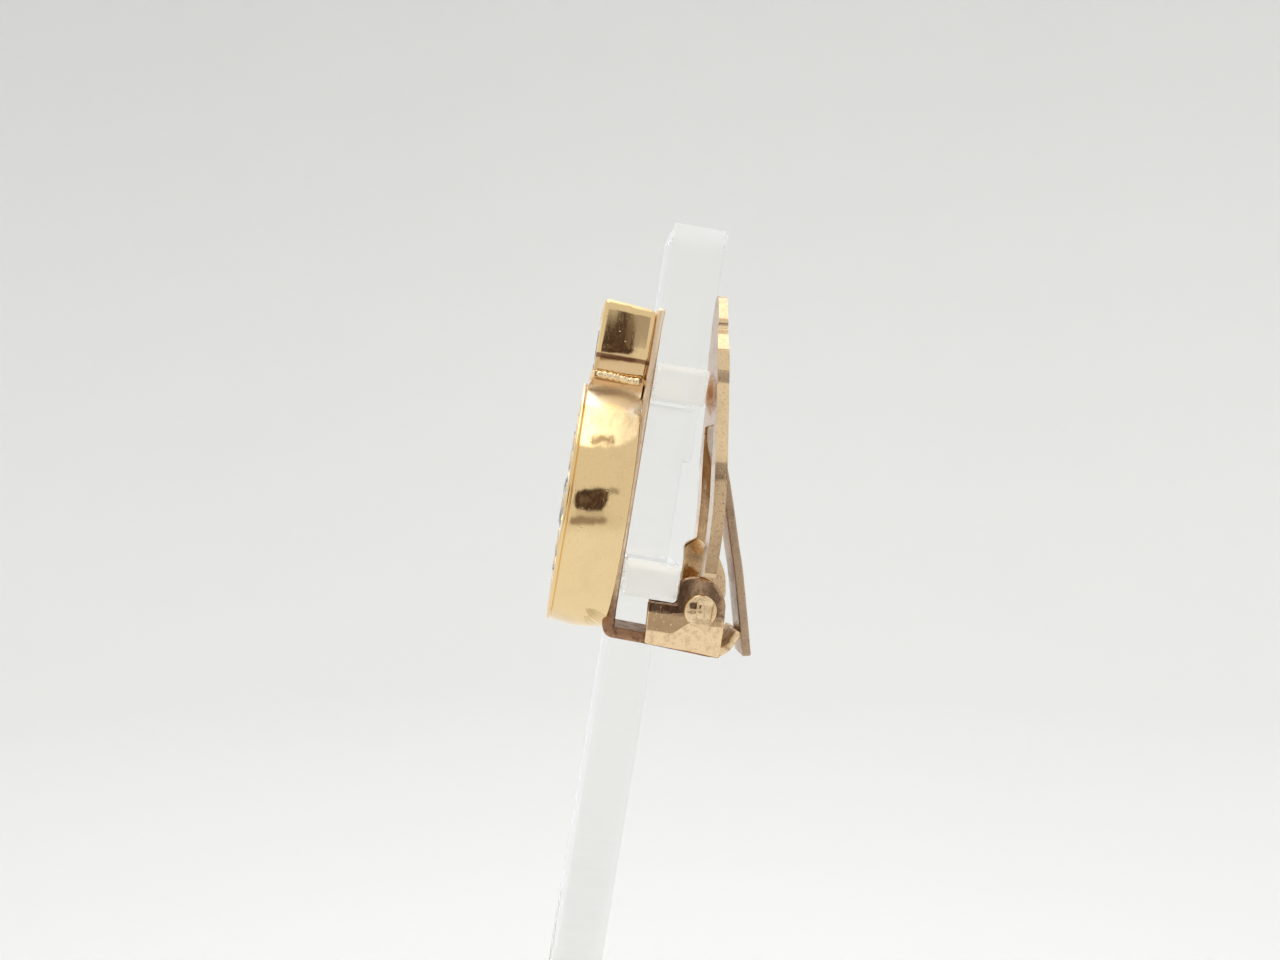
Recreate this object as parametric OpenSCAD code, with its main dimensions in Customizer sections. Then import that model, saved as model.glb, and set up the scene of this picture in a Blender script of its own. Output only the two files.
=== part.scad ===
// Rhinestone clip earring held on a plain clear stand.
// Row frame: +Z up, the earring's front looks to -Y, its clip is at +Y, X runs sideways.
// Most pieces are drawn in the leaning frame of the upright: x sideways, y through its
// thickness from the front, z up along it, with z = 0 at the corner of the clip's bracket.

/* [Lean and place] */
// Lean of the upright and of the earring on it, in degrees
lean = 9.25; // [5:0.25:12]
// Height of the bracket's corner above the table
bracket_height = 33.6; // [32:0.2:38]
// Distance of the earring's middle plane from the middle of the stand
earring_x = 7.4; // [7.4:0.05:7.6]

/* [Disc and block] */
// Radius of the round disc at the crown of its side wall
disc_r = 6.95; // [6.9:0.01:7.0]
// Height of the disc's centre above the bracket's corner
disc_z = 6.75; // [6.7:0.01:6.8]
// Depth of the disc from its front rim to the back
ornament_depth = 3.3; // [3.2:0.02:3.3]
// How far the disc's metal front is domed beyond its rim
dome_rise = 0.12; // [0.1:0.01:0.2]
// Radius of the barrel curve across the disc's side wall
wall_barrel_r = 5.5; // [5:0.1:8]
// Width of the square block
block_w = 5.4; // [5.2:0.1:5.6]
// Height of the block's underside above the bracket's corner
block_z0 = 13.9; // [13.85:0.01:13.95]
// Height of the block's top above the bracket's corner
block_z1 = 18.2; // [18.1:0.05:18.3]
// Depth of the block from its front face to the back
block_depth = 2.98; // [2.9:0.02:3.1]
// Radius of the block's rounded edges
block_round = 0.45; // [0.35:0.05:0.5]
// Depth of the hollow in the back of the disc
hollow_depth = 1.5; // [1.3:0.05:1.6]
// Thickness of the wall round that hollow
hollow_wall = 0.95; // [0.9:0.05:1.1]

/* [Stones] */
// Radius of the stone in the middle of the disc
centre_stone_r = 2.1; // [1.9:0.05:2.15]
// Radius of each stone of the inner ring
inner_stone_r = 1.05; // [0.95:0.01:1.08]
// Radius of the circle through the inner stones
inner_ring_r = 3.4; // [3.35:0.01:3.45]
// Radius of each stone of the outer ring
outer_stone_r = 0.88; // [0.8:0.01:0.9]
// Radius of the circle through the outer stones
outer_ring_r = 5.5; // [5.46:0.01:5.52]
// Half the width of the square stone
square_stone_half = 1.75; // [1.6:0.05:1.8]
// Gap between a stone and its seat
stone_gap = 0.06; // [0.05:0.01:0.08]

/* [Clip] */
// Thickness of the bracket's sheet
sheet_t = 0.45; // [0.4:0.01:0.45]
// Width of the bracket between its ears
bracket_w = 4.7; // [4.6:0.02:4.8]
// Radius of the rivet that is the hinge pin
pin_r = 0.42; // [0.38:0.01:0.45]
// Radial gap between the rivet and the paddle's lugs
running_gap = 0.05; // [0.03:0.01:0.08]
// Full width of the paddle across its two rails
paddle_w = 8.4; // [8:0.1:8.4]
// Thickness of the paddle's sheet
paddle_t = 0.68; // [0.62:0.01:0.7]
// Width of the window in the paddle
window_w = 4.6; // [4.4:0.1:4.8]
// Width of the spring tongue
tongue_w = 3.2; // [3:0.1:3.4]
// Thickness of the spring tongue
tongue_t = 0.5; // [0.42:0.01:0.52]

/* [Stand] */
// Width of the upright
post_w = 7.4; // [7:0.1:7.4]
// Thickness of the upright below its head
stem_t = 2.85; // [2.6:0.05:2.9]
// Thickness of the upright's head
head_t = 3.35; // [3.1:0.05:3.35]
// Thickness of the upper cross bar that the clip grips
bar_t = 2.9; // [2.8:0.02:2.9]
// Thickness of the lower cross bar
lower_bar_t = 3.1; // [3:0.02:3.1]
// Height of each cross bar
bar_h = 2.1; // [1.9:0.05:2.1]
// Full length of each cross bar
bar_len = 20.8; // [20.4:0.2:21]
// Length of the foot along X
foot_x = 36; // [34:1:44]
// Width of the foot along Y
foot_y = 30; // [28:1:34]
// Thickness of the foot
foot_t = 3; // [2.5:0.5:3]

/* [Hidden] */
inner_count = 8;
outer_count = 16;
$fn = 64;

gold = [0.86, 0.66, 0.36];
copper_gold = [0.66, 0.46, 0.30];
crystal = [0.90, 0.94, 0.98, 0.6];
clear_plastic = [0.90, 0.92, 0.90, 0.4];

// Front of the disc and of the block, the dome, and the block's middle and height
front_y = -ornament_depth;
block_front_y = -block_depth;
dome_r = (disc_r * disc_r + dome_rise * dome_rise) / (2 * dome_rise);
block_mid_z = (block_z0 + block_z1) / 2;
block_h = block_z1 - block_z0;
neck_w = 4.2;
rim_round = 0.25;

// Stones: crown heights, how deep the girdles sit, and the beads of metal that hold them
centre_crown = 0.32;
inner_crown = 0.26;
outer_crown = 0.22;
square_crown = 0.24;
girdle_sink = 0.26;
girdle_h = 0.06;
pavilion_slope = 0.85;
seat_hole = 0.3;
stone_corner = 0.28;
ring_turn = 180 / outer_count;
outer_bead_r = 0.33;
outer_bead_at = 6.2;
middle_bead_r = 0.38;
middle_bead_at = 4.45;
inner_bead_r = 0.24;
inner_bead_at = 2.6;
corner_bead_r = 0.36;
corner_bead_at = 1.95;
bead_rise = 0.1;

// Clip: the rivet's place, the two ears and the paddle's lugs
pivot_y = 4.96;
pivot_z = 2.05;
pin_gap = 0.02;
ear_x0 = bracket_w / 2;
ear_x1 = ear_x0 + sheet_t;
ear_front_y = 3.7;
knuckle_r = 1.7;
knuckle_y = 4.75;
knuckle_z = 2.1;
lug_r = 1.2;
lug_gap = 0.08;
lug_t = 0.5;
rivet_head_r = 0.88;
rivet_head_t = 0.16;
rivet_gap = 0.03;
rivet_dimple_r = 0.45;
paddle_z0 = 3.95;
window_z0 = 4.9;
window_z1 = 12.4;
root_gap = 0.06;
pad_y = 4.34;
pad_z = 14.2;
pad_tilt = 6.7;
pad_r = 1.3;
pad_rise = 0.46;
tip_r = 1.75;
tip_z = 19.85;

// Stand: the front of the upright lies just behind the clip's mounting plate
post_y0 = 0.52;
head_z0 = 10.1;
head_z1 = 24.4;
lower_bar_z = 2.17;
upper_bar_z = 13.17;
edge_cut = 0.15;
foot_corner_r = 3;
slot_gap = 0.05;
panel_foot_z = 0.4;
panel_shift_y = -3.2;
stem_extra = 6;

// Middle line of the bracket's sheet: down the back of the ornament, along the arm, up the heel
bracket_line = [
  [0.215, 18.0], [0.215, 0.70], [0.31, 0.33], [0.58, 0.13],
  [6.20, -0.29], [6.72, -0.19], [7.08, 0.20], [7.40, 0.80],
];
// Middle line of the paddle's sheet, from its lower cross piece to its tip
paddle_line = [
  [5.10, paddle_z0], [5.10, 5.2], [5.08, 6.3], [4.98, 8.0], [4.78, 9.8],
  [4.58, 11.8], [4.40, 13.7], [4.20, 15.4], [3.94, 17.4], [3.68, tip_z],
];
// Middle line of the spring tongue, from its root in the window to its free end
tongue_line = [
  [4.53, window_z1 - root_gap], [4.59, 11.75], [4.78, 11.0], [5.20, 10.0], [5.73, 8.45], [6.47, 6.05],
  [6.98, 4.46], [7.41, 2.86], [7.84, 1.21], [8.20, -0.2],
];

// Unit direction from one point to the next, and its left-hand normal
function along(a, b) = (b - a) / norm(b - a);
function left_of(d) = [-d[1], d[0]];
// Direction of the mitre at point i of a line, long enough to keep the sheet's thickness
function mitre(p, i) =
  let (
    d0 = along(p[max(i - 1, 0)], p[max(i, 1)]),
    d1 = along(p[min(i, len(p) - 2)], p[min(i + 1, len(p) - 1)]),
    m = left_of(d0 + d1)
  ) m * 2 / (m * m);
// Outline of a bent sheet: its middle line moved half a thickness to each side
function sheet(p, t) = concat(
  [for (i = [0:len(p) - 1]) p[i] + mitre(p, i) * t / 2],
  [for (i = [len(p) - 1:-1:0]) p[i] - mitre(p, i) * t / 2]
);

// Points of a ring of n corners on a circle, the first one turned by a share of a step
function ring(n, r, z, turn = 0) =
  [for (i = [0:n - 1]) [r * cos((i + turn) * 360 / n), r * sin((i + turn) * 360 / n), z]];
// Height on the straight line between two points of a facet's profile
function on_line(x, a, b) = a[1] + (x - a[0]) / (b[0] - a[0]) * (b[1] - a[1]);

// Puts a shape drawn in the upright's leaning frame into the row frame
module leaning() {
  translate([0, panel_shift_y, bracket_height]) rotate([-lean, 0, 0]) children();
}
// The same, with x = 0 at the earring's middle plane
module on_earring() {
  leaning() translate([earring_x, 0, 0]) children();
}
// Extrudes an outline drawn in the side view (y, z) to width w, centred on x
module side_extrude(w) {
  translate([-w / 2, 0, 0]) rotate([90, 0, 90]) linear_extrude(height = w) children();
}
// Extrudes an outline drawn in the front view (x, z) from y0 to y1
module front_extrude(y0, y1) {
  translate([0, y1, 0]) rotate([90, 0, 0]) linear_extrude(height = y1 - y0) children();
}
// Turns a shape drawn along +Z so that it looks to the front of the earring
module to_front() {
  rotate([90, 0, 0]) children();
}
// A rectangle whose corners are quarter circles
module round_rect(w, h, r) {
  square([w - 2 * r, h], center = true);
  square([w, h - 2 * r], center = true);
  for (sx = [-1, 1], sy = [-1, 1]) translate([sx * (w / 2 - r), sy * (h / 2 - r)]) circle(r);
}
// A rectangle with its corners cut off
module cut_rect(w, h, c) {
  polygon([
    [-w / 2 + c, -h / 2], [w / 2 - c, -h / 2], [w / 2, -h / 2 + c], [w / 2, h / 2 - c],
    [w / 2 - c, h / 2], [-w / 2 + c, h / 2], [-w / 2, h / 2 - c], [-w / 2, -h / 2 + c],
  ]);
}
// A bar with every edge cut, from corner (x0, y0, z0), w by t by h
module cut_bar(x0, y0, z0, w, t, h, c) {
  translate([x0 + w / 2, y0 + t / 2, z0 + h / 2]) intersection() {
    linear_extrude(height = h, center = true) cut_rect(w, t, c);
    rotate([90, 0, 0]) linear_extrude(height = t, center = true) cut_rect(w, h, c);
    rotate([90, 0, 90]) linear_extrude(height = w, center = true) cut_rect(t, h, c);
  }
}

// Places of the stones' girdles on the domed front, as distance from the disc's middle
function front_at(r) = front_y - dome_rise + r * r / (2 * dome_r) + girdle_sink;
function ring_angle(i, n, turn) = (i - 1) * 360 / n + turn;
module at_ring(i, n, r, turn) {
  a = ring_angle(i, n, turn);
  translate([r * sin(a), front_at(r), disc_z + r * cos(a)]) to_front() children();
}

// A round brilliant along +Z with its girdle's lower edge at z = 0: a table, eight star
// facets, eight kites and sixteen girdle facets above, and eight and sixteen below
module brilliant(r, crown) {
  depth = r * pavilion_slope;
  table_r = r * 0.56;
  mid_r = r * 0.82;
  low_r = r * 0.30;
  half = cos(22.5);
  top_z = girdle_h + crown;
  mid_z = on_line(mid_r * half, [table_r, top_z], [r, girdle_h]);
  low_z = on_line(low_r * half, [0, -depth], [r, 0]);
  points = concat(
    ring(8, table_r, top_z), ring(8, mid_r, mid_z, 0.5), ring(16, r, girdle_h),
    ring(16, r, 0), ring(8, low_r, low_z, 0.5), [[0, 0, -depth]]
  );
  mid = 8;
  up = 16;
  down = 32;
  low = 48;
  culet = 56;
  faces = concat(
    [[for (i = [7:-1:0]) i]],
    [for (i = [0:7]) [i, (i + 1) % 8, mid + i]],
    [for (i = [0:7]) [i, mid + i, up + 2 * i, mid + (i + 7) % 8]],
    [for (i = [0:7]) [mid + i, up + 2 * i + 1, up + 2 * i]],
    [for (i = [0:7]) [mid + i, up + (2 * i + 2) % 16, up + 2 * i + 1]],
    [for (i = [0:15]) [up + i, up + (i + 1) % 16, down + (i + 1) % 16, down + i]],
    [for (i = [0:7]) [low + i, down + 2 * i, down + 2 * i + 1]],
    [for (i = [0:7]) [low + i, down + 2 * i + 1, down + (2 * i + 2) % 16]],
    [for (i = [0:7]) [culet, low + (i + 7) % 8, down + 2 * i, low + i]]
  );
  polyhedron(points = points, faces = faces, convexity = 2);
}

// A square stone with cut corners along +Z: a table, two rows of steps above the girdle
// and two below, all with sides parallel to the girdle's
module step_cut(half, crown) {
  cut = stone_corner;
  depth = half * pavilion_slope;
  rows = [
    [0.58, girdle_h + crown], [0.80, girdle_h + crown * 0.66], [1, girdle_h],
    [1, 0], [0.55, -depth * 0.55], [0.08, -depth],
  ];
  outline = [
    [1, cut - 1], [1, 1 - cut], [1 - cut, 1], [cut - 1, 1],
    [-1, 1 - cut], [-1, cut - 1], [cut - 1, -1], [1 - cut, -1],
  ];
  points = [for (row = rows, c = outline) [c[0] * half * row[0], c[1] * half * row[0], row[1]]];
  last = len(rows) - 1;
  faces = concat(
    [[for (i = [7:-1:0]) i]],
    [for (k = [0:last - 1], i = [0:7])
      [8 * k + i, 8 * k + (i + 1) % 8, 8 * (k + 1) + (i + 1) % 8, 8 * (k + 1) + i]],
    [[for (i = [0:7]) 8 * last + i]]
  );
  polyhedron(points = points, faces = faces, convexity = 2);
}

// The seat of a round stone along +Z: a short bore, a cone under it and an open back
module round_seat(r) {
  wall_r = r + stone_gap;
  translate([0, 0, -stone_gap]) cylinder(r = wall_r, h = 2);
  translate([0, 0, -stone_gap - wall_r * (1 - seat_hole)])
    cylinder(r1 = wall_r * seat_hole, r2 = wall_r, h = wall_r * (1 - seat_hole));
  translate([0, 0, 0.5 - ornament_depth])
    cylinder(r = wall_r * seat_hole + 0.01, h = ornament_depth - 0.6);
}
// A bead of metal between the stones, its ball's top bead_rise above the surface there
module bead(r, surface = girdle_sink) {
  translate([0, 0, surface + bead_rise - r]) sphere(r);
}

// Side view of the disc's casting, turned round its axis: barrel wall and shallow dome
module disc_body() {
  full_h = ornament_depth + dome_rise;
  translate([0, 0, disc_z]) to_front() rotate_extrude($fn = 128) intersection() {
    square([disc_r, full_h]);
    translate([0, full_h / 2]) round_rect(2 * disc_r, full_h, rim_round);
    translate([0, full_h - dome_r]) circle(dome_r, $fn = 1440);
    translate([disc_r - wall_barrel_r, ornament_depth / 2]) circle(wall_barrel_r);
  }
}
// The square block, its edges rounded in three views
module block_body() {
  translate([0, block_front_y / 2, block_mid_z]) intersection() {
    rotate([90, 0, 0]) linear_extrude(height = block_depth, center = true)
      round_rect(block_w, block_h, block_round);
    linear_extrude(height = block_h, center = true)
      round_rect(block_w, block_depth, block_round);
    rotate([90, 0, 90]) linear_extrude(height = block_w, center = true)
      round_rect(block_depth, block_h, block_round);
  }
}
// The outline of one hinge ear in the side view: a low shoulder and a round knuckle whose
// front is cut straight
module ear_outline() {
  polygon([
    [2.26, -0.30], [2.10, 2.03], [ear_front_y, 2.09], [ear_front_y, 3.2], [4.6, 3.2],
    [6.3, 2.35], [6.52, 1.2], [6.56, -0.54],
  ]);
  intersection() {
    translate([knuckle_y, knuckle_z]) circle(knuckle_r);
    translate([ear_front_y, 0]) square(2 * knuckle_r + 1);
  }
}

module setting() {
  color(gold) on_earring() difference() {
    union() {
      disc_body();
      block_body();
      translate([-neck_w / 2, block_front_y + 0.2, block_z0 - 1.4])
        cube([neck_w, block_depth - 0.3, 2]);
      side_extrude(bracket_w) polygon(sheet(bracket_line, sheet_t));
      for (side = [-1, 1]) translate([side * (ear_x0 + sheet_t / 2), 0, 0])
        side_extrude(sheet_t + 0.02) ear_outline();
      for (i = [1:outer_count])
        at_ring(i, outer_count, outer_bead_at, 0) bead(outer_bead_r);
      for (i = [1:inner_count]) {
        at_ring(i, inner_count, middle_bead_at, ring_turn * 2) bead(middle_bead_r);
        at_ring(i, inner_count, inner_bead_at, ring_turn * 2) bead(inner_bead_r);
      }
      for (sx = [-1, 1], sz = [-1, 1])
        translate([sx * corner_bead_at, block_front_y, block_mid_z + sz * corner_bead_at * 0.9])
          to_front() bead(corner_bead_r, surface = 0);
    }
    translate([0, 0, disc_z]) to_front() translate([0, 0, -0.01])
      difference() {
        cylinder(r = disc_r - hollow_wall, h = hollow_depth + 0.01);
        translate([-bracket_w / 2, -disc_r, -1]) cube([bracket_w, 2 * disc_r, 1.01]);
      }
    at_ring(1, 1, 0, 0) round_seat(centre_stone_r);
    for (i = [1:inner_count]) at_ring(i, inner_count, inner_ring_r, 0) round_seat(inner_stone_r);
    for (i = [1:outer_count])
      at_ring(i, outer_count, outer_ring_r, ring_turn) round_seat(outer_stone_r);
    translate([0, block_front_y + girdle_sink, block_mid_z]) to_front() square_seat();
    translate([-ear_x1 - 1, pivot_y, pivot_z]) rotate([0, 90, 0])
      cylinder(r = pin_r + pin_gap, h = 2 * ear_x1 + 2);
  }
}
// The seat of the square stone: a straight pit with the stone's own cut corners
module square_seat() {
  side = 2 * (square_stone_half + stone_gap);
  depth = square_stone_half * pavilion_slope + stone_gap;
  translate([0, 0, -depth]) linear_extrude(height = depth + 2)
    cut_rect(side, side, stone_corner * square_stone_half);
}

module square_stone() {
  color(crystal) on_earring() translate([0, block_front_y + girdle_sink, block_mid_z])
    to_front() step_cut(square_stone_half, square_crown);
}
module centre_stone() {
  color(crystal) on_earring() at_ring(1, 1, 0, 0) brilliant(centre_stone_r, centre_crown);
}
module inner_stone(i) {
  color(crystal) on_earring()
    at_ring(i, inner_count, inner_ring_r, 0) brilliant(inner_stone_r, inner_crown);
}
module outer_stone(i) {
  color(crystal) on_earring()
    at_ring(i, outer_count, outer_ring_r, ring_turn) brilliant(outer_stone_r, outer_crown);
}

// The rivet: a shaft through both ears, with a flat dimpled head outside each
module hinge_pin() {
  head_x = ear_x1 + 0.01 + rivet_gap;
  reach = head_x + rivet_head_t;
  color(gold) on_earring() translate([0, pivot_y, pivot_z]) rotate([0, 90, 0]) difference() {
    union() {
      translate([0, 0, -reach]) cylinder(r = pin_r, h = 2 * reach);
      for (side = [-1, 1]) translate([0, 0, side * (head_x + rivet_head_t / 2)])
        cylinder(r = rivet_head_r, h = rivet_head_t, center = true);
    }
    for (turn = [0, 180]) rotate([turn, 0, 0]) translate([0, 0, reach - 0.1])
      cylinder(r1 = rivet_dimple_r * 0.5, r2 = rivet_dimple_r, h = 0.11);
  }
}

// Front view of the paddle: a round tip that widens to the two rails
module paddle_outline() {
  half = paddle_w / 2;
  translate([0, tip_z - tip_r]) circle(tip_r);
  polygon([
    [-tip_r, tip_z - tip_r], [-2.5, 15.2], [-half + 0.1, 10.4], [-half, 9.4], [-half, 4.7],
    [0.6 - half, paddle_z0], [half - 0.6, paddle_z0], [half, 4.7], [half, 9.4], [half - 0.1, 10.4],
    [2.5, 15.2], [tip_r, tip_z - tip_r],
  ]);
}
// Side view of one lug: a disc round the rivet and a broad flange up beside the rails' foot
module lug_outline() {
  translate([pivot_y, pivot_z]) circle(lug_r);
  polygon([
    [pivot_y - 0.75, pivot_z], [pivot_y + 1.1, pivot_z], [6.4, 2.9], [6.2, 4.1],
    [5.75, 4.95], [5.3, 5.6], [4.8, 5.85], [4.35, 5.6], [4.02, 5.25], [4.12, 4.6], [4.17, 3.2],
  ]);
}
module clip_paddle() {
  lug_x = ear_x0 - lug_gap - lug_t / 2;
  color(gold) on_earring() difference() {
    union() {
      intersection() {
        side_extrude(paddle_w + 1) polygon(sheet(paddle_line, paddle_t));
        front_extrude(2, 7) difference() {
          paddle_outline();
          translate([0, (window_z0 + window_z1) / 2])
            square([window_w, window_z1 - window_z0], center = true);
        }
      }
      pressed_pad();
      for (side = [-1, 1]) translate([side * lug_x, 0, 0]) side_extrude(lug_t) lug_outline();
    }
    translate([-paddle_w, pivot_y, pivot_z]) rotate([0, 90, 0])
      cylinder(r = pin_r + running_gap, h = 2 * paddle_w);
  }
}
// The pad pressed out of the paddle's front, a ball's cap square to the sheet there
module pressed_pad() {
  ball_r = (pad_r * pad_r + pad_rise * pad_rise) / (2 * pad_rise);
  translate([0, pad_y, pad_z]) rotate([pad_tilt, 0, 0]) intersection() {
    translate([0, ball_r - pad_rise - paddle_t / 2, 0]) sphere(ball_r);
    translate([-2 * pad_r, -2, -2 * pad_r]) cube([4 * pad_r, 2, 4 * pad_r]);
  }
}

module spring_tongue() {
  color(copper_gold) on_earring() side_extrude(tongue_w) polygon(sheet(tongue_line, tongue_t));
}

// The upright: stem and head in one, and the two cross bars through it
module stand_panel() {
  stem_z0 = -bracket_height - stem_extra;
  color(clear_plastic) intersection() {
    leaning() union() {
      cut_bar(-post_w / 2, post_y0, stem_z0, post_w, stem_t, head_z0 + 1 - stem_z0, edge_cut);
      cut_bar(-post_w / 2, post_y0, head_z0, post_w, head_t, head_z1 - head_z0, edge_cut);
      cut_bar(-bar_len / 2, post_y0, upper_bar_z, bar_len, bar_t, bar_h, edge_cut);
      cut_bar(-bar_len / 2, post_y0, lower_bar_z, bar_len, lower_bar_t, bar_h, edge_cut);
    }
    translate([-foot_x / 2, -foot_y, panel_foot_z]) cube([foot_x, 2 * foot_y, 100]);
  }
}
// The foot: a flat plate with round corners and a slot that follows the upright's lean
module stand_foot() {
  color(clear_plastic) difference() {
    linear_extrude(height = foot_t) round_rect(foot_x, foot_y, foot_corner_r);
    leaning() translate([-post_w / 2 - slot_gap, post_y0 - slot_gap, -bracket_height - stem_extra])
      cube([post_w + 2 * slot_gap, stem_t + 2 * slot_gap, 3 * stem_extra]);
  }
}

setting();
square_stone();
centre_stone();
for (i = [1:inner_count]) inner_stone(i);
for (i = [1:outer_count]) outer_stone(i);
hinge_pin();
clip_paddle();
spring_tongue();
stand_panel();
stand_foot();
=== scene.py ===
import math

import bmesh
import bpy
import numpy as np
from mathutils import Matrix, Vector


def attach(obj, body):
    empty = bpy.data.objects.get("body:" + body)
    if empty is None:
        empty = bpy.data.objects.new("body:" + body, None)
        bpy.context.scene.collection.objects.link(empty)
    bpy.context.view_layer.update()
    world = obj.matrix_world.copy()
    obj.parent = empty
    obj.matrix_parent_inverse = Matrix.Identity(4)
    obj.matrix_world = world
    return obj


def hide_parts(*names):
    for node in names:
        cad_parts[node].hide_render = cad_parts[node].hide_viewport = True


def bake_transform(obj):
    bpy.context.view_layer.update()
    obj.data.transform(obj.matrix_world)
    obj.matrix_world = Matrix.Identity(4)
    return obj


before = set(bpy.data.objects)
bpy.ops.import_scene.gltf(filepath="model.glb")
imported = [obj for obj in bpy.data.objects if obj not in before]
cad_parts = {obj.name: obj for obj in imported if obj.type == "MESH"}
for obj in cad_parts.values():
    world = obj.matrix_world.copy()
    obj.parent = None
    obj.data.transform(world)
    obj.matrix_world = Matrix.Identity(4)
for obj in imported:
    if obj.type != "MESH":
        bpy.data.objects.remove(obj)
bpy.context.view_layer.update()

# Sizes are in millimetres, and place() turns them into the frame's metres.
MM = 0.001

# The earring leans with its stand. Its pieces are worked out as x across from its middle plane,
# u back from the disc's rear face, and v up along it from the bracket's lower front corner.
LEAN = math.radians(9.25)
EARRING_X, SHIFT_Y, CORNER_Z = 7.4, -3.2, 33.6


def place(x, u, v):
    """Leaning points in millimetres carried to the frame in metres: y is SHIFT_Y + u cos + v sin
    of the lean, and z is CORNER_Z - u sin + v cos."""
    x, u, v = np.broadcast_arrays(x, u, v)
    y = SHIFT_Y + u * math.cos(LEAN) + v * math.sin(LEAN)
    z = CORNER_Z - u * math.sin(LEAN) + v * math.cos(LEAN)
    return np.stack([EARRING_X + x, y, z], -1) * MM


# Camera, at the photo's angle: its distance, its azimuth from the front and its height angle.

CAMERA_AWAY, CAMERA_AZIMUTH, CAMERA_ELEVATION = 75.0, math.radians(86.5), math.radians(0.3)
FOCAL_PIXELS, FRAME_WIDTH, SENSOR_WIDTH = 1301.0, 1280.0, 36.0
AIM = Vector((EARRING_X, SHIFT_Y + 2.096, CORNER_Z + 8.394)) * MM
LEVEL = math.cos(CAMERA_ELEVATION)
TO_CAMERA = Vector((
    math.sin(CAMERA_AZIMUTH) * LEVEL, -math.cos(CAMERA_AZIMUTH) * LEVEL, math.sin(CAMERA_ELEVATION)))
CAMERA_TURN = (-TO_CAMERA).to_track_quat("-Z", "Y")

camera_data = bpy.data.cameras.new("photo_camera")
camera_data.sensor_width = SENSOR_WIDTH
camera_data.lens = SENSOR_WIDTH * FOCAL_PIXELS / FRAME_WIDTH
camera_data.clip_start, camera_data.clip_end = 0.002, 5.0
camera = bpy.data.objects.new("photo_camera", camera_data)
bpy.context.scene.collection.objects.link(camera)
camera.location = AIM + TO_CAMERA * (CAMERA_AWAY * MM)
camera.rotation_mode = "QUATERNION"
camera.rotation_quaternion = CAMERA_TURN
bpy.context.scene.camera = camera
bpy.context.scene.view_settings.view_transform = "Standard"

# Mesh helpers

MERGE = 0.0015
CREASE = 38.0


def grid_faces(rows, cols, start=0, wrap=False):
    """Quads of a rows by cols grid of points, the last column joined to the first if wrap."""
    j = np.arange(rows - 1)[:, None]
    i = np.arange(cols if wrap else cols - 1)[None, :]
    n = (i + 1) % cols
    quads = np.stack([j * cols + i, j * cols + n, (j + 1) * cols + n, (j + 1) * cols + i], -1)
    return quads.reshape(-1, 4) + start


def piece(name, grids, material, body="root", replaces=(), crease=CREASE, wrap=True):
    """One object from grids of points in metres, the last column of each joined to its first if
    wrap: doubles are merged, slivers dissolved, faces turned outwards, and edges sharper than
    crease kept sharp."""
    points, quads, start = [], [], 0
    for grid in grids:
        rows, cols = grid.shape[:2]
        points.append(grid.reshape(-1, 3))
        quads.append(grid_faces(rows, cols, start, wrap))
        start += rows * cols
    points, quads = np.concatenate(points), np.concatenate(quads)
    mesh = bpy.data.meshes.new(name)
    mesh.vertices.add(len(points))
    mesh.vertices.foreach_set("co", points.astype(np.float32).ravel())
    mesh.loops.add(quads.size)
    mesh.loops.foreach_set("vertex_index", quads.astype(np.int32).ravel())
    mesh.polygons.add(len(quads))
    mesh.polygons.foreach_set("loop_start", np.arange(0, quads.size, 4, dtype=np.int32))
    mesh.update(calc_edges=True)
    return finish_mesh(name, mesh, material, body, replaces, crease)


def finish_mesh(name, mesh, material, body, replaces, crease=CREASE):
    """Cleans a mesh and makes it an object with its material that rides on its body, if one is
    given, and hides the parts that it replaces.
    """
    work = bmesh.new()
    work.from_mesh(mesh)
    bmesh.ops.remove_doubles(work, verts=work.verts, dist=MERGE * MM)
    bmesh.ops.dissolve_degenerate(work, edges=work.edges, dist=MERGE * MM * 0.5)
    bmesh.ops.recalc_face_normals(work, faces=work.faces)
    work.to_mesh(mesh)
    work.free()
    mesh.shade_smooth()
    mesh.set_sharp_from_angle(angle=math.radians(crease))
    mesh.materials.append(material)
    made = bpy.data.objects.new(name, mesh)
    bpy.context.scene.collection.objects.link(made)
    if body:
        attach(made, body)
    if replaces:
        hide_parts(*replaces)
    return made


def smooth_line(points, count):
    """Points on the even Catmull-Rom curve through the given ones: in each stretch a cubic whose
    slope at a given point is half the way from its neighbour before to the one after."""
    p = np.asarray(points, float)
    padded = np.vstack([2 * p[0] - p[1], p, 2 * p[-1] - p[-2]])
    t = np.linspace(0, len(p) - 1, count)
    k = np.minimum(t.astype(int), len(p) - 2)
    f = (t - k)[:, None]
    a, b, c, d = padded[k], padded[k + 1], padded[k + 2], padded[k + 3]
    return 0.5 * (
        2 * b + (c - a) * f + (2 * a - 5 * b + 4 * c - d) * f**2 + (3 * b - a - 3 * c + d) * f**3
    )


def round_corners(points, radius):
    """An open line with each inner corner replaced by a quadratic curve that starts and ends
    radius from the corner, or a bit less than half the way to the next one."""
    p = np.asarray(points, float)
    out = [p[:1]]
    s = np.linspace(0, 1, 6)[:, None]
    for before, at, after in zip(p[:-2], p[1:-1], p[2:]):
        gap_in, gap_out = np.linalg.norm(before - at), np.linalg.norm(after - at)
        start = at + (before - at) * min(radius / gap_in, 0.49)
        end = at + (after - at) * min(radius / gap_out, 0.49)
        out.append((1 - s) ** 2 * start + 2 * s * (1 - s) * at + s**2 * end)
    out.append(p[-1:])
    return np.concatenate(out)


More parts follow.
